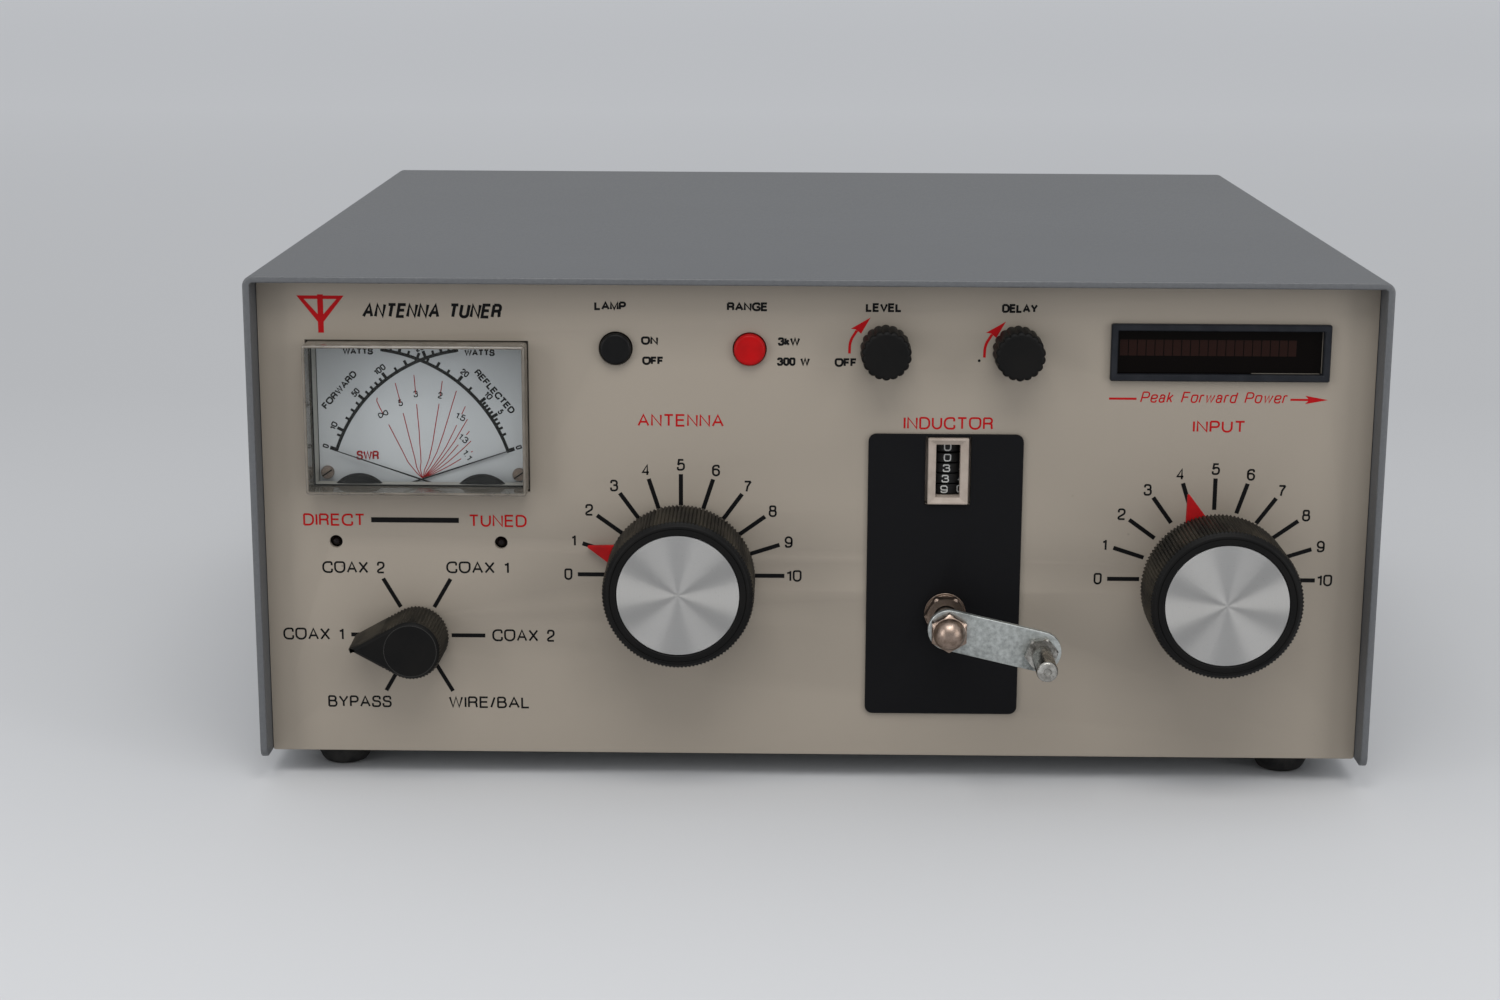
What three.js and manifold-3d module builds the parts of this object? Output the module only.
// An antenna tuner for amateur radio: a steel case with two variable capacitors, a roller inductor with a crank and
// a turns counter, a crossed-needle power meter, a peak power display and an output selector.
// Millimetres, +Z up, the front faces -Y. Inside the group "unit", Y = 0 is the face of the front panel and Z = 0 is
// the lower edge of the case; the group then moves the part so that its box stands centred on the origin.
import * as THREE from "three";
import { mergeVertices } from "three/addons/utils/BufferGeometryUtils.js";
import Module from "manifold-3d";

const wasm = await Module();
wasm.setup();

// ---- driving sizes -------------------------------------------------------------------------------------------
const caseWidth = 317.5; // 12.5 in
const caseHeight = 139.7; // 5.5 in, without the feet
const caseDepth = 290; // of the cover
const coverSheet = 2;
const coverBend = 3; // outer radius of the cover's two bends
const coverTip = 3; // rounding of the cover's lower corners
const frontOverhang = 8.5; // the cover stands this far in front of the panel
const rearInset = 3; // the rear wall sits this far inside the cover
const panelSheet = 2;
const chassisSheet = 1.5;
const seat = 0.1; // left between pieces that are clamped together
const fit = 0.3; // left round pieces that slip in, slide or turn

const footHeight = 7.5;
const footTop = 10;
const footTip = 6.25;
const footAcross = 138.2; // from the middle to a foot
const footFromFront = 16;
const footFromBack = 24;

const flangeHeight = 12.5; // of the chassis' side and front flanges
const rearFlange = 10; // the flange that the top of the rear wall is folded into

// places on the panel, from its middle and its lower edge
const meterAt = [-112, 98.95];
const meterSize = [62.1, 42.7];
const meterDepth = 7.8; // the clear case in front of the panel
const meterWall = 1.6;
const meterLip = 1.5;
const meterBodyDepth = 26;
const meterBelow = 11; // the movement reaches this far below the window
const needlePivotApart = 32.6;
const needlePivotHeight = 74;
const needleLength = 42.8;
const needleRest = 18.6; // degrees above the horizontal at zero
const needleWidth = 0.7;
const hubRadius = 2.4;
const needleSheet = 0.6;
const needleShaft = 0.9;
const pivotDepth = 5; // of the pivots' bores in the movement
const dialSheet = 0.6;

const displayAt = [112.7, 118.7];
const displaySize = [61.1, 16.1];
const displayWindow = [57.3, 12.3];
const displayProud = 1.7;
const displayRim = 0.9; // of the collar that goes through the panel

const ledHeight = 62.4;
const ledAcross = [-136.3, -89.2];
const ledRadius = 1.5;
const ledSet = 0.4; // the lamps' tips stand this far behind the panel's face
const ledFlange = 0.4;

const buttonHeight = 118.7;
const lampAcross = -56.1;
const rangeAcross = -18.6;
const buttonRadius = 4.45;
const buttonProud = 2;
const buttonRound = 0.8;
const buttonTravel = 2.5;
const buttonLength = 4; // behind the panel, before the stem
const stemWidth = 4;
const stemLength = 9;
const switchWidth = 14;

const potHeight = 119;
const levelAcross = 19.3;
const delayAcross = 56.2;
const smallKnobRadius = 7.1;
const smallKnobDepth = 11;
const smallKnobGap = 0.9;
const flutes = 18;
const fluteDepth = 0.55;
const potRadius = 8;
const potLength = 10; // behind the panel
const potShaft = 1.6;
const bushRadius = 3.5;
const bushProud = 2.6;

const selectorAt = [-113.5, 34.9];
const selectorRadius = 9;
const selectorReach = 18;
const selectorDepth = 16;
const selectorFace = 4; // of solid knob in front of the shaft
const selectorShaftLength = 74;
const waferRadius = 22;
const waferGap = 22;
const waferSheet = 3;
const waferRotor = 8;

const antennaAt = [-37.9, 53.3];
const inputAt = [113, 53.2];
const bigKnobRadius = 21.2;
const bigKnobDepth = 21;
const bigKnobChamfer = 1.2;
const bigKnobFace = 5; // of solid knob in front of the shaft
const inlayRadius = 17.3;
const inlayDepth = 0.6;
const pointerReach = 28.6;
const pointerSheet = 1.2;
const pointerDisc = 12.5;
const pointerSpread = 30; // degrees from the tip's direction to where its flanks leave the disc
const antennaPointer = 18; // degrees clockwise from the dial's zero, which is at nine o'clock
const inputPointer = 72;
const antennaGap = 0.8; // between the pointer and the panel
const inputGap = 6.8;
const shaftRadius = 3.175; // quarter-inch shafts
const plateRadius = 26;
const plateSheet = 1.2;
const vaneNotch = 7.5; // half the width of the notch that clears the shaft in each fixed plate
const platePitch = 11;
const capacitorHalf = 31;
const endPlate = 3;
const capacitorStart = 30;
const antennaPlates = 6;
const inputPlates = 8;

const escutcheon = [15, 58.65, 12.9, 95]; // left, right, bottom and top of the black plate round the crank
const escutcheonSheet = 0.9;
const escutcheonCorner = 2.2;

const crankAt = [37.5, 43];
const crankDrop = 13.2; // degrees below the horizontal, pointing right
const crankLength = 26.5;
const crankWidth = 11.6;
const crankSheet = 2;
const crankFace = 17.4; // from the panel to the back of the arm
const crankNutAcross = 9.6;
const crankNutThick = 3.7;
const crankNutTurn = 30; // a corner of the acorn nut points straight up
const crankNutCap = 0.4; // of solid nut in front of the thread
const threadRadius = 2.4;
const handleRadius = 2.95;
const handleStub = 1.9; // radius of its riveted end
const handleSeat = 1.2; // the rivet ends this far behind the arm
const handleChamfer = 0.6;
const handleEnd = 39; // from the panel to the tip of the handle
const handleNutAcross = 8.3;
const handleNutThick = 2.8;
const handleNutTurn = 8;
const bushingNutAcross = 10.6;
const bushingNutThick = 4.2;
const bushingRadius = 4.4;

const coilStart = 46;
const coilPitch = 3.3;
const coilTurns = 34.5;
const turnsAtRest = 33.9; // what the counter shows, with ten counts to a turn
const wireSize = 1.7;
const formRadius = 22.8;
const coilHalf = 30;
const rollerAngle = 135; // degrees, seen from the front, from the coil's axis to the roller's rod
const rollerGroove = 8;
const rollerFlange = 8.6;
const rollerRod = 2;
const rollerHub = 3.2;
const rollerHubLength = 9;

const counterHeight = 84.5;
const counterNose = [11.4, 19];
const counterWindow = [6.9, 15.3];
const counterPlay = 0.4; // the holes for the nose are this much wider than a close fit on each side
const counterProud = 1.2; // the counter's nose in front of the black plate
const wheelRadius = 7.5;
const wheelPitch = 3.05;
const wheelThick = 2.7;
const wheelShaft = 1.2;
const gearRadius = 6;
const gearFace = 3;
const gearSlack = 0.2;
const counterAxis = 10.2; // from the panel to the wheels' axis

const socketAcross = [-125, -90, -55];
const socketHeight = 36;
const socketFlange = 25.4;
const socketRadius = 7.9;
const socketLength = 12;
const insulatorAcross = [45, 85];
const insulatorHeight = 95;
const insulatorRadius = 11;
const insulatorLength = 17;
const studRadius = 2.4;
const studLength = 24; // from the rear wall to the tip of a terminal's stud
const groundAt = [130, 20];
const groundLength = 15;

const boardSheet = 1.6;
const balunAt = [-85, 215];
const balunRadius = 30;
const balunBore = 14;
const balunHeight = 22;

// ---- places worked out from them -----------------------------------------------------------------------------
const coverFront = -frontOverhang;
const coverBack = caseDepth - frontOverhang;
const innerHalf = caseWidth / 2 - coverSheet - fit;
const innerTop = caseHeight - coverSheet - fit;
const panelBack = panelSheet + seat;
const rearFace = coverBack - rearInset;
const rearInner = rearFace - chassisSheet;
const potBack = panelBack + potLength;
const counterAt = [crankAt[0], counterHeight]; // the counter stands right above the crank that drives it
const counterCutOut = [counterNose[0] + 2 * (fit + counterPlay), counterNose[1] + 2 * fit];
const gearMesh = counterAxis + gearRadius; // the two bevel gears meet here, as far behind the wheels' axis
const floor = chassisSheet;
const boardFace = panelBack + 30;

// ---- shapes --------------------------------------------------------------------------------------------------
const radians = (degrees) => (degrees * Math.PI) / 180;

// A closed geometry as a solid that can be cut and joined.
function solid(geometry) {
  geometry.deleteAttribute("normal");
  geometry.deleteAttribute("uv");
  const merged = mergeVertices(geometry, 1e-4);
  const vertProperties = merged.attributes.position.array;
  const triVerts = new Uint32Array(merged.index.array);
  return new wasm.Manifold(new wasm.Mesh({ numProp: 3, vertProperties, triVerts }));
}

const join = (...solids) => solids.reduce((a, b) => a.add(b));
const cut = (body, ...tools) => tools.reduce((a, b) => a.subtract(b), body);

function block(x0, x1, y0, y1, z0, z1) {
  const geometry = new THREE.BoxGeometry(x1 - x0, y1 - y0, z1 - z0);
  return solid(geometry.translate((x0 + x1) / 2, (y0 + y1) / 2, (z0 + z1) / 2));
}

// A block centred on (x, z), of a width and a height, between two depths.
function bar(x, z, width, height, y0, y1) {
  return block(x - width / 2, x + width / 2, y0, y1, z - height / 2, z + height / 2);
}

// An outline drawn as seen from the front, from depth y0 to depth y1.
function prism(outline, y0, y1, curveSegments = 5) {
  const geometry = new THREE.ExtrudeGeometry(outline, { depth: y1 - y0, bevelEnabled: false, curveSegments });
  return solid(geometry.rotateX(Math.PI / 2).translate(0, y1, 0));
}

// The sides of a round surface: more on a large one, few enough everywhere to keep the model light.
function sidesOf(radius) {
  if (radius < 2.5) return 8;
  if (radius < 6) return 12;
  return radius < 15 ? 16 : 28;
}

// A profile of [radius, height] points turned about Y.
function lathe(profile) {
  const points = profile.map(([r, h]) => new THREE.Vector2(r, h));
  return new THREE.LatheGeometry(points, sidesOf(Math.max(...profile.map(([r]) => r))));
}

// A profile of [radius, depth] points turned about a line along Y through (x, z).
const turned = (profile, x, z) => solid(lathe(profile).translate(x, 0, z));

// A profile of [radius, height] points turned about a line along Z through (x, y).
const upright = (profile, x, y) => solid(lathe(profile).rotateX(Math.PI / 2).translate(x, y, 0));

// A round bar along Y.
function pin(x, z, radius, y0, y1) {
  return turned([[0, y0], [radius, y0], [radius, y1], [0, y1]], x, z);
}

// A round bar along Z.
function post(x, y, radius, z0, z1) {
  return upright([[0, z0], [radius, z0], [radius, z1], [0, z1]], x, y);
}

function outlineOf(points) {
  return new THREE.Shape(points.map(([x, z]) => new THREE.Vector2(x, z)));
}

function roundedRectangle(x, z, width, height, corner) {
  const [left, right, low, high] = [x - width / 2, x + width / 2, z - height / 2, z + height / 2];
  const shape = new THREE.Shape();
  shape.moveTo(left + corner, low);
  shape.lineTo(right - corner, low);
  shape.absarc(right - corner, low + corner, corner, -Math.PI / 2, 0);
  shape.lineTo(right, high - corner);
  shape.absarc(right - corner, high - corner, corner, 0, Math.PI / 2);
  shape.lineTo(left + corner, high);
  shape.absarc(left + corner, high - corner, corner, Math.PI / 2, Math.PI);
  shape.lineTo(left, low + corner);
  shape.absarc(left + corner, low + corner, corner, Math.PI, Math.PI * 1.5);
  return shape;
}

// A hexagon of a width across its flats, with two flats level when turned by 0 degrees.
function hexagon(x, z, acrossFlats, turn = 0) {
  const corner = acrossFlats / Math.sqrt(3);
  const points = [0, 60, 120, 180, 240, 300].map((a) => [
    x + corner * Math.cos(radians(a + turn)),
    z + corner * Math.sin(radians(a + turn)),
  ]);
  return outlineOf(points);
}

// A point at a radius and an angle, with the angle counter-clockwise from three o'clock as seen from the front.
const around = ([x, z], radius, degrees) => [
  x + radius * Math.cos(radians(degrees)),
  z + radius * Math.sin(radians(degrees)),
];

// ---- the group and its pieces --------------------------------------------------------------------------------
const unit = new THREE.Group();
const tuner = new THREE.Group();
tuner.add(unit);

const finishes = {
  greyPaint: { color: 0x55585a, roughness: 0.6, metalness: 0.2 },
  beigePaint: { color: 0x9a9084, roughness: 0.6, metalness: 0.1 },
  bareSteel: { color: 0xa8a9a6, roughness: 0.4, metalness: 0.9 },
  zinc: { color: 0xb4b8b8, roughness: 0.45, metalness: 0.9 },
  aluminium: { color: 0xc6c7c8, roughness: 0.35, metalness: 0.95 },
  brass: { color: 0xc0a060, roughness: 0.35, metalness: 0.9 },
  blackPlastic: { color: 0x17181a, roughness: 0.5, metalness: 0 },
  blackPaint: { color: 0x18181a, roughness: 0.55, metalness: 0.1 },
  redPlastic: { color: 0xa30d10, roughness: 0.4, metalness: 0 },
  clearPlastic: { color: 0xdfe3e4, roughness: 0.1, metalness: 0, transparent: true, opacity: 0.3 },
  whitePrint: { color: 0xd8d8d4, roughness: 0.6, metalness: 0 },
  darkLens: { color: 0x2a0d0d, roughness: 0.2, metalness: 0 },
  rubber: { color: 0x141414, roughness: 0.9, metalness: 0 },
  ceramic: { color: 0xe9e6dc, roughness: 0.25, metalness: 0 },
  ferrite: { color: 0x3a3a3c, roughness: 0.7, metalness: 0.1 },
  board: { color: 0x2c5a34, roughness: 0.5, metalness: 0 },
};

function piece(name, finish, body) {
  const mesh = body.getMesh();
  const geometry = new THREE.BufferGeometry();
  geometry.setAttribute("position", new THREE.BufferAttribute(new Float32Array(mesh.vertProperties), 3));
  geometry.setIndex(new THREE.BufferAttribute(new Uint32Array(mesh.triVerts), 1));
  geometry.computeVertexNormals();
  const made = new THREE.Mesh(geometry, new THREE.MeshStandardMaterial(finishes[finish]));
  made.name = name;
  unit.add(made);
}

// ---- case ----------------------------------------------------------------------------------------------------
function coverBody() {
  const half = caseWidth / 2;
  const inner = Math.max(coverBend - coverSheet, 0.5);
  const shape = new THREE.Shape();
  shape.moveTo(-half, 0);
  shape.lineTo(-half + coverSheet, 0);
  shape.lineTo(-half + coverSheet, caseHeight - coverSheet - inner);
  shape.absarc(-half + coverSheet + inner, caseHeight - coverSheet - inner, inner, Math.PI, Math.PI / 2, true);
  shape.lineTo(half - coverSheet - inner, caseHeight - coverSheet);
  shape.absarc(half - coverSheet - inner, caseHeight - coverSheet - inner, inner, Math.PI / 2, 0, true);
  shape.lineTo(half - coverSheet, 0);
  shape.lineTo(half, 0);
  shape.lineTo(half, caseHeight - coverBend);
  shape.absarc(half - coverBend, caseHeight - coverBend, coverBend, 0, Math.PI / 2, false);
  shape.lineTo(-half + coverBend, caseHeight);
  shape.absarc(-half + coverBend, caseHeight - coverBend, coverBend, Math.PI / 2, Math.PI, false);
  return cut(prism(shape, coverFront, coverBack), coverCorner(coverFront, 1), coverCorner(coverBack, -1));
}

// What the rounding takes from the lower corners of both sides, at the front (inwards 1) or the back (inwards -1).
function coverCorner(y, inwards) {
  const half = caseWidth / 2 + 1;
  const inner = y + inwards * coverTip;
  const waste = block(-half, half, Math.min(y, inner), Math.max(y, inner), -1, coverTip);
  const rod = new THREE.CylinderGeometry(coverTip, coverTip, 2 * half + 2, 24).rotateZ(Math.PI / 2);
  return cut(waste, solid(rod.translate(0, inner, coverTip)));
}

// One folded sheet: a low flange at the front, the bottom, the rear wall and a flange at its top, with a low flange
// along each side that the cover is screwed to.
function chassisBody() {
  const [front, thick] = [panelBack, chassisSheet];
  const fold = outlineOf([
    [front, 0],
    [rearFace, 0],
    [rearFace, innerTop],
    [rearFace - rearFlange, innerTop],
    [rearFace - rearFlange, innerTop - thick],
    [rearInner, innerTop - thick],
    [rearInner, thick],
    [front + thick, thick],
    [front + thick, flangeHeight],
    [front, flangeHeight],
  ]);
  const sheet = new THREE.ExtrudeGeometry(fold, { depth: 2 * innerHalf, bevelEnabled: false });
  const folded = solid(sheet.rotateX(Math.PI / 2).rotateZ(Math.PI / 2).translate(-innerHalf, 0, 0));
  const sides = [-innerHalf, innerHalf - thick].map((x) => {
    return block(x, x + thick, front + thick / 2, rearInner + thick / 2, thick / 2, flangeHeight - 1);
  });
  const through = [rearInner - 1, rearFace + 1];
  const holes = [
    ...socketAcross.map((x) => pin(x, socketHeight, socketRadius + fit, ...through)),
    ...insulatorAcross.map((x) => pin(x, insulatorHeight, studRadius + fit, ...through)),
    pin(...groundAt, studRadius + fit, ...through),
  ];
  return cut(join(folded, ...sides), ...holes);
}

function frontPanelBody() {
  const through = [-1, panelSheet + 1];
  const sheet = block(-innerHalf, innerHalf, 0, panelSheet, 0, innerTop);
  return cut(
    sheet,
    bar(...meterAt, meterSize[0] + 2 * fit, meterSize[1] + 2 * fit, ...through),
    bar(...displayAt, displayCollar(0) + 2 * fit, displayCollar(1) + 2 * fit, ...through),
    ...ledAcross.map((x) => pin(x, ledHeight, ledRadius + fit, ...through)),
    pin(lampAcross, buttonHeight, buttonRadius + fit, ...through),
    pin(rangeAcross, buttonHeight, buttonRadius + fit, ...through),
    pin(levelAcross, potHeight, bushRadius + fit, ...through),
    pin(delayAcross, potHeight, bushRadius + fit, ...through),
    pin(...selectorAt, bushingRadius + fit, ...through),
    pin(...antennaAt, shaftRadius + 2 * fit, ...through),
    pin(...inputAt, shaftRadius + 2 * fit, ...through),
    pin(...crankAt, bushingRadius + fit, ...through),
    bar(...counterAt, ...counterCutOut, ...through),
  );
}

function footBody(x, y) {
  return upright([[0, -footHeight], [footTip, -footHeight], [footTop, -seat], [0, -seat]], x, y);
}

piece("cover", "greyPaint", coverBody());
piece("chassis", "bareSteel", chassisBody());
piece("front_panel", "beigePaint", frontPanelBody());
for (const [side, x] of [["left", -footAcross], ["right", footAcross]]) {
  piece("foot_front_" + side, "rubber", footBody(x, footFromFront));
  piece("foot_rear_" + side, "rubber", footBody(x, rearFace - footFromBack));
}

// ---- crossed-needle meter ------------------------------------------------------------------------------------
const lipBack = panelBack + meterLip;
const pivotCover = 1.4; // room behind the lip for the covers of the pivots
const needlePlane = lipBack + pivotCover; // the front of the forward needle
const needleStep = needleSheet + fit; // the needles cross, so each swings in a plane of its own
const dialFace = needlePlane + 2 * needleStep;
const movementFace = dialFace + dialSheet + seat;
const movementLow = meterAt[1] - meterSize[1] / 2 - meterBelow;
const movementHigh = meterAt[1] + meterSize[1] / 2 - meterWall;
const movementHalf = meterSize[0] / 2 - meterWall;
const pivots = [1, -1].map((side) => [meterAt[0] + (side * needlePivotApart) / 2, needlePivotHeight]);

function meterCaseBody() {
  const [width, height] = meterSize;
  const shell = bar(...meterAt, width, height, -meterDepth, panelBack);
  const lip = bar(...meterAt, width + 2 * meterLip, height + 2 * meterLip, panelBack, lipBack);
  const inside = [width - 2 * meterWall, height - 2 * meterWall];
  return cut(join(shell, lip), bar(...meterAt, ...inside, -meterDepth + meterWall, lipBack + 1));
}

function movementPlate(y0, y1) {
  const [left, right] = [meterAt[0] - movementHalf, meterAt[0] + movementHalf];
  const holes = pivots.map((pivot) => pin(...pivot, needleShaft + fit, y0 - 1, movementFace + pivotDepth));
  return cut(block(left, right, y0, y1, movementLow, movementHigh), ...holes);
}

// A needle at zero, which leans to the left or to the right, with its hub and its shaft.
function needleBody(pivot, front, leansLeft) {
  const angle = leansLeft ? 180 - needleRest : needleRest;
  const tip = around(pivot, needleLength, angle);
  const [sideX, sideZ] = around([0, 0], needleWidth / 2, angle + 90);
  const outline = outlineOf([
    [pivot[0] + sideX, pivot[1] + sideZ],
    [pivot[0] - sideX, pivot[1] - sideZ],
    [tip[0] - sideX / 2, tip[1] - sideZ / 2],
    [tip[0] + sideX / 2, tip[1] + sideZ / 2],
  ]);
  const sheet = [front, front + needleSheet];
  const shaft = pin(...pivot, needleShaft, front, movementFace + pivotDepth - fit);
  return join(prism(outline, ...sheet), pin(...pivot, hubRadius, ...sheet), shaft);
}

piece("meter_case", "clearPlastic", meterCaseBody());
piece("meter_dial", "whitePrint", movementPlate(dialFace, dialFace + dialSheet));
piece("meter_body", "blackPlastic", movementPlate(movementFace, movementFace + meterBodyDepth));
piece("forward_needle", "blackPlastic", needleBody(pivots[0], needlePlane, true));
piece("reflected_needle", "blackPlastic", needleBody(pivots[1], needlePlane + needleStep, false));

// ---- power display, lamps and push buttons ---------------------------------------------------------------------
const displayBack = panelBack + 2;
const boardFront = boardFace - seat; // every part of the electronics stands on the circuit board behind it
const buttonBack = panelBack + buttonLength;

// The collar of the bezel, which passes through the panel: its width (0) or its height (1).
function displayCollar(side) {
  return displayWindow[side] + 2 * displayRim;
}

function bezelBody() {
  const frame = bar(...displayAt, ...displaySize, -displayProud - seat, -seat);
  const collar = bar(...displayAt, displayCollar(0), displayCollar(1), -displayProud / 2, displayBack);
  return cut(join(frame, collar), bar(...displayAt, ...displayWindow, -displayProud - 1, displayBack + 1));
}

function ledBody(x) {
  const front = ledSet;
  const dome = [90, 60, 30, 0].map((a) => [
    ledRadius * Math.cos(radians(a)),
    front + ledRadius * (1 - Math.sin(radians(a))),
  ]);
  const rim = ledRadius + ledFlange;
  const flange = panelBack + fit;
  return turned([...dome, [ledRadius, flange], [rim, flange], [rim, flange + 1], [0, flange + 1]], x, ledHeight);
}

function buttonBody(x) {
  const profile = [
    [0, -buttonProud],
    [buttonRadius - buttonRound, -buttonProud],
    [buttonRadius - buttonRound * 0.3, -buttonProud + buttonRound * 0.3],
    [buttonRadius, -buttonProud + buttonRound],
    [buttonRadius, buttonBack],
    [0, buttonBack],
  ];
  const stem = bar(x, buttonHeight, stemWidth, stemWidth, buttonBack, buttonBack + stemLength);
  return join(turned(profile, x, buttonHeight), stem);
}

function switchBody(x) {
  const front = buttonBack + buttonTravel + 2 * fit;
  const stemHole = stemWidth + 2 * fit;
  const deep = buttonBack + stemLength + buttonTravel + fit;
  const housing = bar(x, buttonHeight, switchWidth, switchWidth, front, boardFront);
  return cut(housing, bar(x, buttonHeight, stemHole, stemHole, front - 1, deep));
}

piece("display_bezel", "blackPlastic", bezelBody());
const moduleSize = [displayCollar(0), displayCollar(1)];
piece("display_module", "darkLens", bar(...displayAt, ...moduleSize, displayBack + fit, boardFront));
piece("direct_led", "darkLens", ledBody(ledAcross[0]));
piece("tuned_led", "darkLens", ledBody(ledAcross[1]));
piece("lamp_button", "blackPlastic", buttonBody(lampAcross));
piece("lamp_switch", "blackPlastic", switchBody(lampAcross));
piece("range_button", "redPlastic", buttonBody(rangeAcross));
piece("range_switch", "blackPlastic", switchBody(rangeAcross));

function boardBody() {
  const left = lampAcross - switchWidth / 2 - 4;
  const right = displayAt[0] + displaySize[0] / 2 + 2;
  const [low, high] = [potHeight - potRadius - 7, innerTop - 4];
  return block(left, right, boardFace, boardFace + boardSheet, low, high);
}

piece("circuit_board", "board", boardBody());

// ---- level and delay controls ----------------------------------------------------------------------------------
// A round outline with scooped flutes.
function fluted(x, z, radius, depth, count) {
  const steps = count * 3;
  const points = Array.from({ length: steps }, (_, i) => {
    const turn = (i / steps) * 360;
    const scoop = (1 - Math.cos(radians(turn * count))) / 2;
    return around([x, z], radius - depth * scoop, turn);
  });
  return outlineOf(points);
}

function smallKnobBody(x) {
  const back = -smallKnobGap;
  const front = back - smallKnobDepth;
  const grip = prism(fluted(x, potHeight, smallKnobRadius, fluteDepth, flutes), front, back);
  const recess = pin(x, potHeight, bushRadius + 1, -bushProud - 2 * fit, 0);
  const shaft = pin(x, potHeight, potShaft, -bushProud - 1, potBack - 2);
  return join(cut(grip, recess), shaft);
}

function potBody(x) {
  const profile = [[0, -bushProud], [bushRadius, -bushProud], [bushRadius, panelBack], [potRadius, panelBack],
    [potRadius, potBack], [0, potBack]];
  const bore = pin(x, potHeight, potShaft + fit, -bushProud - 1, potBack - 2 + fit);
  const foot = bar(x, potHeight, potRadius, potRadius * 1.4, potBack - 1, boardFront);
  return cut(join(turned(profile, x, potHeight), foot), bore);
}

for (const [name, x] of [["level", levelAcross], ["delay", delayAcross]]) {
  piece(name + "_knob", "blackPlastic", smallKnobBody(x));
  piece(name + "_pot", "bareSteel", potBody(x));
}

// ---- output selector -------------------------------------------------------------------------------------------
const selectorGap = 0.9;
const switchPlate = panelBack + seat;
const waferStart = switchPlate + chassisSheet + waferGap;
const waferFronts = [waferStart, waferStart + waferGap];
const switchEnd = waferFronts[1] + waferSheet + 4;

// A teardrop that points to the left.
function teardrop([x, z], radius, reach) {
  const spread = (Math.acos(radius / reach) * 180) / Math.PI; // the flanks touch the circle this far from the tip
  const arc = Array.from({ length: 31 }, (_, i) => {
    const turn = 180 + spread + (i / 30) * (360 - 2 * spread);
    return around([x, z], radius, turn);
  });
  return outlineOf([[x - reach, z], ...arc]);
}

function selectorKnobBody() {
  const back = -selectorGap;
  const grip = prism(teardrop(selectorAt, selectorRadius, selectorReach), back - selectorDepth, back);
  const bore = pin(...selectorAt, shaftRadius + fit, back - selectorDepth + selectorFace, 0);
  return cut(grip, bore, pin(...selectorAt, bushingRadius + 1, -bushProud - 2 * fit, 0));
}

function selectorShaftBody() {
  const front = -selectorGap - selectorDepth + selectorFace + fit;
  const shaft = pin(...selectorAt, shaftRadius, front, switchEnd);
  const rotors = waferFronts.map((y) => pin(...selectorAt, waferRotor, y, y + waferSheet));
  return join(shaft, ...rotors);
}

function selectorSwitchBody() {
  const bush = pin(...selectorAt, bushingRadius, -bushProud, switchPlate + 0.5);
  const plate = bar(...selectorAt, 2 * waferRadius, 1.2 * waferRadius, switchPlate, switchPlate + chassisSheet);
  const wafers = waferFronts.map((y) => pin(...selectorAt, waferRadius, y, y + waferSheet));
  const rods = [-1, 1].map((side) => {
    const x = selectorAt[0] + side * (waferRadius - 4);
    return pin(x, selectorAt[1], 1.6, switchPlate + 0.5, switchEnd);
  });
  const bores = [
    pin(...selectorAt, shaftRadius + fit, -bushProud - 1, switchPlate + 5),
    ...waferFronts.map((y) => pin(...selectorAt, waferRotor + fit, y - 1, y + waferSheet + 1)),
  ];
  return cut(join(bush, plate, ...wafers, ...rods), ...bores);
}

piece("selector_knob", "blackPlastic", selectorKnobBody());
piece("selector_shaft", "bareSteel", selectorShaftBody());
piece("selector_switch", "ceramic", selectorSwitchBody());

// ---- variable capacitors ---------------------------------------------------------------------------------------
// A knob of the two big dials, its back at a depth and its front face recessed for an inlay.
function bigKnobBody(at, back) {
  const front = back - bigKnobDepth;
  const profile = [
    [0, front + inlayDepth],
    [inlayRadius, front + inlayDepth],
    [inlayRadius, front],
    [bigKnobRadius - bigKnobChamfer, front],
    [bigKnobRadius, front + bigKnobChamfer],
    [bigKnobRadius, back],
    [0, back],
  ];
  return cut(turned(profile, ...at), pin(...at, shaftRadius + fit, front + bigKnobFace, back + 1));
}

// The pointer under a big knob: a disc with a triangular tip, at an angle clockwise from nine o'clock.
function pointerBody(at, back, clockwise) {
  const disc = pin(...at, pointerDisc, back - pointerSheet, back);
  const towards = 180 - clockwise;
  const tip = around(at, pointerReach, towards);
  const [a, b] = [1, -1].map((side) => around(at, pointerDisc, towards + side * pointerSpread));
  const triangle = prism(outlineOf([tip, a, at, b]), back - pointerSheet, back);
  return cut(join(disc, triangle), pin(...at, shaftRadius + fit, back - pointerSheet - 1, back + 1));
}

// Half a disc, the half on one side of a line at an angle (counter-clockwise from three o'clock).
function halfDisc(at, radius, degrees, y0, y1) {
  const outline = Array.from({ length: 11 }, (_, i) => around(at, radius, degrees + i * 18));
  return prism(outlineOf(outline), y0, y1);
}

function rotorBody(at, front, plates, clockwise) {
  const start = capacitorStart + endPlate;
  const end = start + (plates + 1) * platePitch;
  const shaft = pin(...at, shaftRadius, front, end + endPlate);
  const vanes = Array.from({ length: plates }, (_, i) => {
    const y = start + (i + 1) * platePitch - plateSheet / 2;
    return halfDisc(at, plateRadius, -clockwise, y, y + plateSheet);
  });
  const boss = pin(...at, shaftRadius + 2, start + fit, end - fit);
  return join(shaft, boss, ...vanes);
}

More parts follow.
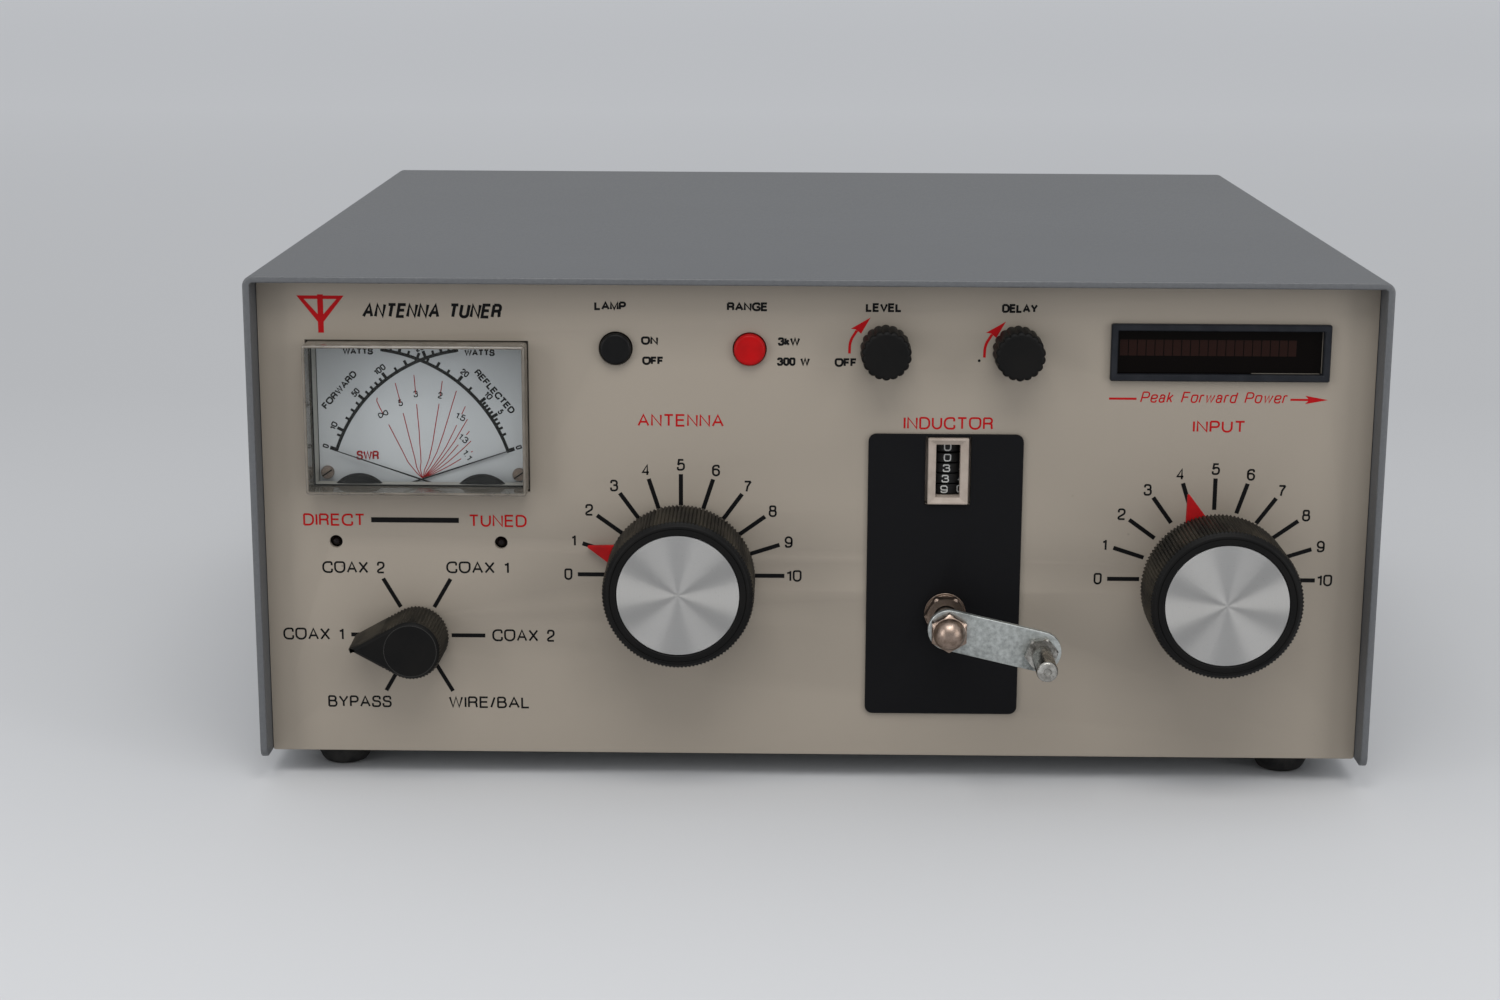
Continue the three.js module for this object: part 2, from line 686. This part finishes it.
// The fixed plates, the end plates that carry the shaft, and the rods that hold them together.
function statorBody(at, plates) {
  const [x, z] = at;
  const start = capacitorStart + endPlate;
  const end = start + (plates + 1) * platePitch;
  const foot = floor + seat;
  const ends = [capacitorStart, end].map((y) => cut(
    block(x - capacitorHalf, x + capacitorHalf, y, y + endPlate, foot, z + capacitorHalf),
    pin(...at, shaftRadius + fit, y - 1, y + endPlate + 1),
  ));
  const rodAt = plateRadius + 2.5;
  const vanes = Array.from({ length: plates + 1 }, (_, i) => {
    const y = start + (i + 0.5) * platePitch - plateSheet / 2;
    const sheet = block(x - rodAt - 2, x + rodAt + 2, y, y + plateSheet, z, z + rodAt);
    return cut(sheet, bar(x, z, 2 * vaneNotch, 2 * vaneNotch, y - 1, y + plateSheet + 1));
  });
  const rods = [-1, 1].map((side) => bar(x + side * rodAt, z + 4, 3, 3, start - 1, end + 1));
  return join(...ends, ...vanes, ...rods);
}

for (const [name, at, gap, plates, clockwise] of [
  ["antenna", antennaAt, antennaGap, antennaPlates, antennaPointer],
  ["input", inputAt, inputGap, inputPlates, inputPointer],
]) {
  const knobBack = -gap - pointerSheet - seat;
  const shaftFront = knobBack - bigKnobDepth + bigKnobFace + fit;
  piece(name + "_knob", "blackPlastic", bigKnobBody(at, knobBack));
  piece(name + "_pointer", "redPlastic", pointerBody(at, -gap, clockwise));
  piece(name + "_rotor", "aluminium", rotorBody(at, shaftFront, plates, clockwise));
  piece(name + "_stator", "aluminium", statorBody(at, plates));
}

// ---- roller inductor with its crank ----------------------------------------------------------------------------
const plateBack = -seat;
const plateFront = plateBack - escutcheonSheet;
const armBack = -crankFace;
const armFront = armBack - crankSheet;
const handleAt = around(crankAt, crankLength, -crankDrop);
const coilEnd = coilStart + coilTurns * coilPitch;
const coilFront = coilStart - 6;
const coilRear = coilEnd + 6;
const windingSteps = 10; // straight lengths in each turn, whose middles must clear the former
const wireRadius = (formRadius + fit) / Math.cos(Math.PI / windingSteps) + wireSize / 2;
const rollerAxis = around(crankAt, wireRadius + wireSize / 2 + fit + rollerGroove, rollerAngle);
const rollerRest = coilStart + turnsAtRest * coilPitch;
const rollerWidth = 2 * (coilPitch - wireSize / 2 - 1.5 * fit); // it stays clear of the turns on either side

function escutcheonBody() {
  const [left, right, low, high] = escutcheon;
  const middle = [(left + right) / 2, (low + high) / 2];
  const outline = roundedRectangle(...middle, right - left, high - low, escutcheonCorner);
  const sheet = prism(outline, plateFront, plateBack);
  const nose = bar(...counterAt, ...counterCutOut, plateFront - 1, 1);
  return cut(sheet, nose, pin(...crankAt, bushingRadius + fit, plateFront - 1, 1));
}

function bushingBody() {
  const nutBack = plateFront - seat;
  const nut = prism(hexagon(...crankAt, bushingNutAcross), nutBack - bushingNutThick, nutBack);
  const sleeve = pin(...crankAt, bushingRadius, nutBack - bushingNutThick - 1, panelBack + 1);
  const collar = pin(...crankAt, bushingRadius + 1.6, panelBack, panelBack + 1);
  return cut(join(nut, sleeve, collar), pin(...crankAt, shaftRadius + fit, armBack, lipBack));
}

function armBody() {
  const turn = radians(-crankDrop);
  const [x, z] = crankAt;
  const half = crankWidth / 2;
  const shape = new THREE.Shape();
  shape.absarc(x, z, half, Math.PI / 2 + turn, Math.PI * 1.5 + turn, false);
  shape.absarc(...handleAt, half, -Math.PI / 2 + turn, Math.PI / 2 + turn, false);
  const bores = [
    pin(...crankAt, threadRadius + fit, armFront - 1, armBack + 1),
    pin(...handleAt, handleStub + fit, armFront - 1, armBack + 1),
  ];
  return cut(prism(shape, armFront, armBack, 8), ...bores);
}

function crankNutBody() {
  const back = armFront - seat;
  const front = back - crankNutThick;
  const dome = crankNutAcross / 2 - 0.1;
  const cap = [90, 65, 40, 20, 0].map((a) => [
    dome * Math.cos(radians(a)),
    front + 0.5 - dome * Math.sin(radians(a)),
  ]);
  const nut = join(
    prism(hexagon(...crankAt, crankNutAcross, crankNutTurn), front, back),
    turned([...cap, [0, front + 0.5]], ...crankAt),
  );
  return cut(nut, pin(...crankAt, threadRadius + fit, front + crankNutCap, back + 1));
}

function handleBody() {
  const back = armFront - seat;
  const pinShape = [
    [0, -handleEnd],
    [handleRadius - handleChamfer, -handleEnd],
    [handleRadius, -handleEnd + handleChamfer],
    [handleRadius, back],
    [handleStub, back],
    [handleStub, armBack + handleSeat],
    [0, armBack + handleSeat],
  ];
  const nut = prism(hexagon(...handleAt, handleNutAcross, handleNutTurn), back - handleNutThick, back);
  return join(turned(pinShape, ...handleAt), nut);
}

// The ceramic former on the crank's shaft, with the gear that drives the counter.
function formBody() {
  const threadFront = armFront - crankNutThick + crankNutCap;
  const shaft = turned([
    [0, threadFront],
    [threadRadius, threadFront],
    [threadRadius, armBack + seat],
    [shaftRadius + 1, armBack + seat],
    [shaftRadius + 1, armBack + 3],
    [shaftRadius, armBack + 3],
    [shaftRadius, coilRear + endPlate],
    [0, coilRear + endPlate],
  ], ...crankAt);
  const former = pin(...crankAt, formRadius, coilFront + 1, coilRear - 1);
  const gear = turned([
    [0, gearMesh - gearFace / 2],
    [gearRadius - gearFace / 2 - gearSlack, gearMesh - gearFace / 2],
    [gearRadius + gearFace / 2 - gearSlack, gearMesh + gearFace / 2],
    [0, gearMesh + gearFace / 2],
  ], ...crankAt);
  return join(shaft, former, gear);
}

// The winding: a straight square wire, bent round the coil as a helix, which advances towards the back
// counter-clockwise as seen from the front, so that a clockwise turn of the crank drives the roller backwards.
function windingBody() {
  const steps = Math.round(coilTurns * windingSteps);
  const geometry = new THREE.BoxGeometry(coilTurns, wireSize, wireSize, steps, 1, 1);
  const position = geometry.attributes.position;
  for (let i = 0; i < position.count; i += 1) {
    const turns = position.getX(i) + coilTurns / 2;
    const angle = rollerAngle + 360 * (turns - turnsAtRest);
    const [x, z] = around(crankAt, wireRadius + position.getY(i), angle);
    position.setXYZ(i, x, coilStart + turns * coilPitch + position.getZ(i), z);
  }
  return solid(geometry);
}

function coilFrameBody() {
  const [x, z] = crankAt;
  const [rodX, rodZ] = rollerAxis;
  const foot = floor + seat;
  const ends = [coilFront - endPlate, coilRear].map((y) => cut(
    block(x - coilHalf, x + coilHalf, y, y + endPlate, foot, z + coilHalf),
    pin(...crankAt, shaftRadius + fit, y - 1, y + endPlate + 1),
  ));
  const ties = [-1, 1].map((side) => pin(x + side * (coilHalf - 3), foot + 3.2, 2, coilFront - 1, coilRear + 1));
  return join(...ends, ...ties, pin(rodX, rodZ, rollerRod, coilFront - 1, coilRear + 1));
}

// The sleeve that slides along the rod, and the grooved wheel that turns on it.
function rollerHubBody() {
  const half = rollerHubLength / 2;
  const flange = rollerHub + 1.3;
  const inner = half - 1;
  return turned([
    [rollerRod + fit, rollerRest - half],
    [flange, rollerRest - half],
    [flange, rollerRest - inner],
    [rollerHub, rollerRest - inner],
    [rollerHub, rollerRest + inner],
    [flange, rollerRest + inner],
    [flange, rollerRest + half],
    [rollerRod + fit, rollerRest + half],
    [rollerRod + fit, rollerRest - half],
  ], ...rollerAxis);
}

function rollerWheelBody() {
  const half = rollerWidth / 2;
  const groove = wireSize / 2 + fit;
  return turned([
    [rollerHub + fit, rollerRest - half],
    [rollerFlange, rollerRest - half],
    [rollerGroove, rollerRest - groove],
    [rollerGroove, rollerRest + groove],
    [rollerFlange, rollerRest + half],
    [rollerHub + fit, rollerRest + half],
    [rollerHub + fit, rollerRest - half],
  ], ...rollerAxis);
}

piece("inductor_plate", "blackPaint", escutcheonBody());
piece("crank_bushing", "brass", bushingBody());
piece("crank_arm", "zinc", armBody());
piece("crank_nut", "bareSteel", crankNutBody());
piece("crank_handle", "bareSteel", handleBody());
piece("coil_form", "ceramic", formBody());
piece("coil_winding", "zinc", windingBody());
piece("coil_frame", "ceramic", coilFrameBody());
piece("roller_hub", "brass", rollerHubBody());
piece("roller_wheel", "brass", rollerWheelBody());

// ---- turns counter ---------------------------------------------------------------------------------------------
const noseFront = plateFront - counterProud;
const wheelHeights = [2, 1, 0, -1, -2].map((i) => counterAt[1] + i * wheelPitch); // ten-thousands at the top
const stackLow = wheelHeights[4] - wheelThick / 2;
const stackHigh = wheelHeights[0] + wheelThick / 2;

function counterHousingBody() {
  const [x, z] = counterAt;
  const wall = 1.3;
  const half = wheelRadius + fit + wall;
  const [low, high] = [stackLow - fit - wall, stackHigh + fit + wall];
  const nose = bar(x, z, ...counterNose, noseFront, panelBack + fit);
  const box = block(x - half, x + half, panelBack, counterAxis + half, low, high);
  const hollow = post(x, counterAxis, wheelRadius + fit, low + wall, high - wall);
  const window = bar(x, z, ...counterWindow, noseFront - 1, counterAxis);
  const bore = post(x, counterAxis, wheelShaft + fit, low - 1, high - wall + 0.5);
  return cut(join(nose, box), hollow, window, bore);
}

// The shaft up from the crank's gear, with the matching gear at its foot.
function counterShaftBody() {
  const x = counterAt[0];
  const low = crankAt[1] + gearRadius;
  const gear = upright([
    [0, low - gearFace / 2],
    [gearRadius - gearFace / 2 - gearSlack, low - gearFace / 2],
    [gearRadius + gearFace / 2 - gearSlack, low + gearFace / 2],
    [0, low + gearFace / 2],
  ], x, counterAxis);
  return join(gear, post(x, counterAxis, wheelShaft, low, stackHigh + fit));
}

function counterWheelBody(z) {
  const [low, high] = [z - wheelThick / 2, z + wheelThick / 2];
  const ring = [[wheelShaft + fit, low], [wheelRadius, low], [wheelRadius, high], [wheelShaft + fit, high]];
  return upright([...ring, ring[0]], counterAt[0], counterAxis);
}

piece("counter_housing", "beigePaint", counterHousingBody());
piece("counter_shaft", "bareSteel", counterShaftBody());
["ten_thousands", "thousands", "hundreds", "tens", "units"].forEach((name, i) => {
  piece("counter_" + name, "blackPlastic", counterWheelBody(wheelHeights[i]));
});

// ---- rear connectors and the rest of the inside ----------------------------------------------------------------
// A coaxial socket: a square flange outside the rear wall, a threaded barrel, an insulator and its contact.
function socketBody(x) {
  const outside = rearFace + seat;
  const end = outside + socketLength;
  const flange = bar(x, socketHeight, socketFlange, socketFlange, outside, outside + 2);
  const barrel = pin(x, socketHeight, socketRadius, rearInner - 3, end);
  const contact = pin(x, socketHeight, 2, rearInner - 14, rearInner);
  const groove = cut(
    pin(x, socketHeight, socketRadius - 1.6, end - 1.2, end + 1),
    pin(x, socketHeight, socketRadius - 3.4, end - 2, end + 2),
  );
  return cut(join(flange, barrel, contact), groove, pin(x, socketHeight, 1.8, end - 8, end + 1));
}

// A bell-shaped feed-through insulator with its threaded stud.
function insulatorBody(x) {
  const outside = rearFace + seat;
  const profile = [
    [0, rearInner - 12],
    [studRadius, rearInner - 12],
    [studRadius, outside],
    [insulatorRadius, outside],
    [insulatorRadius, outside + 3],
    [insulatorRadius - 3, outside + 6],
    [insulatorRadius - 4.5, outside + insulatorLength],
    [studRadius, outside + insulatorLength],
    [studRadius, rearFace + studLength],
    [0, rearFace + studLength],
  ];
  return turned(profile, x, insulatorHeight);
}

function groundBody() {
  const outside = rearFace + seat;
  const nut = prism(hexagon(...groundAt, 9.5), outside, outside + 3.5);
  return join(nut, pin(...groundAt, studRadius, rearInner - 6, rearFace + groundLength));
}

function balunBody() {
  const low = floor + seat;
  const high = low + balunHeight;
  const round = 3;
  return upright([
    [balunBore, low],
    [balunRadius - round, low],
    [balunRadius, low + round],
    [balunRadius, high - round],
    [balunRadius - round, high],
    [balunBore, high],
    [balunBore, low],
  ], ...balunAt);
}

["coax_socket_transmitter", "coax_socket_1", "coax_socket_2"].forEach((name, i) => {
  piece(name, "bareSteel", socketBody(socketAcross[i]));
});
piece("line_insulator_left", "ceramic", insulatorBody(insulatorAcross[0]));
piece("line_insulator_right", "ceramic", insulatorBody(insulatorAcross[1]));
piece("ground_post", "brass", groundBody());
piece("balun", "ferrite", balunBody());

// The box of the whole part, from the tip of the crank's handle to the tips of the rear studs, is centred in depth.
unit.position.set(0, (handleEnd - (rearFace + studLength)) / 2, footHeight);

export default tuner;
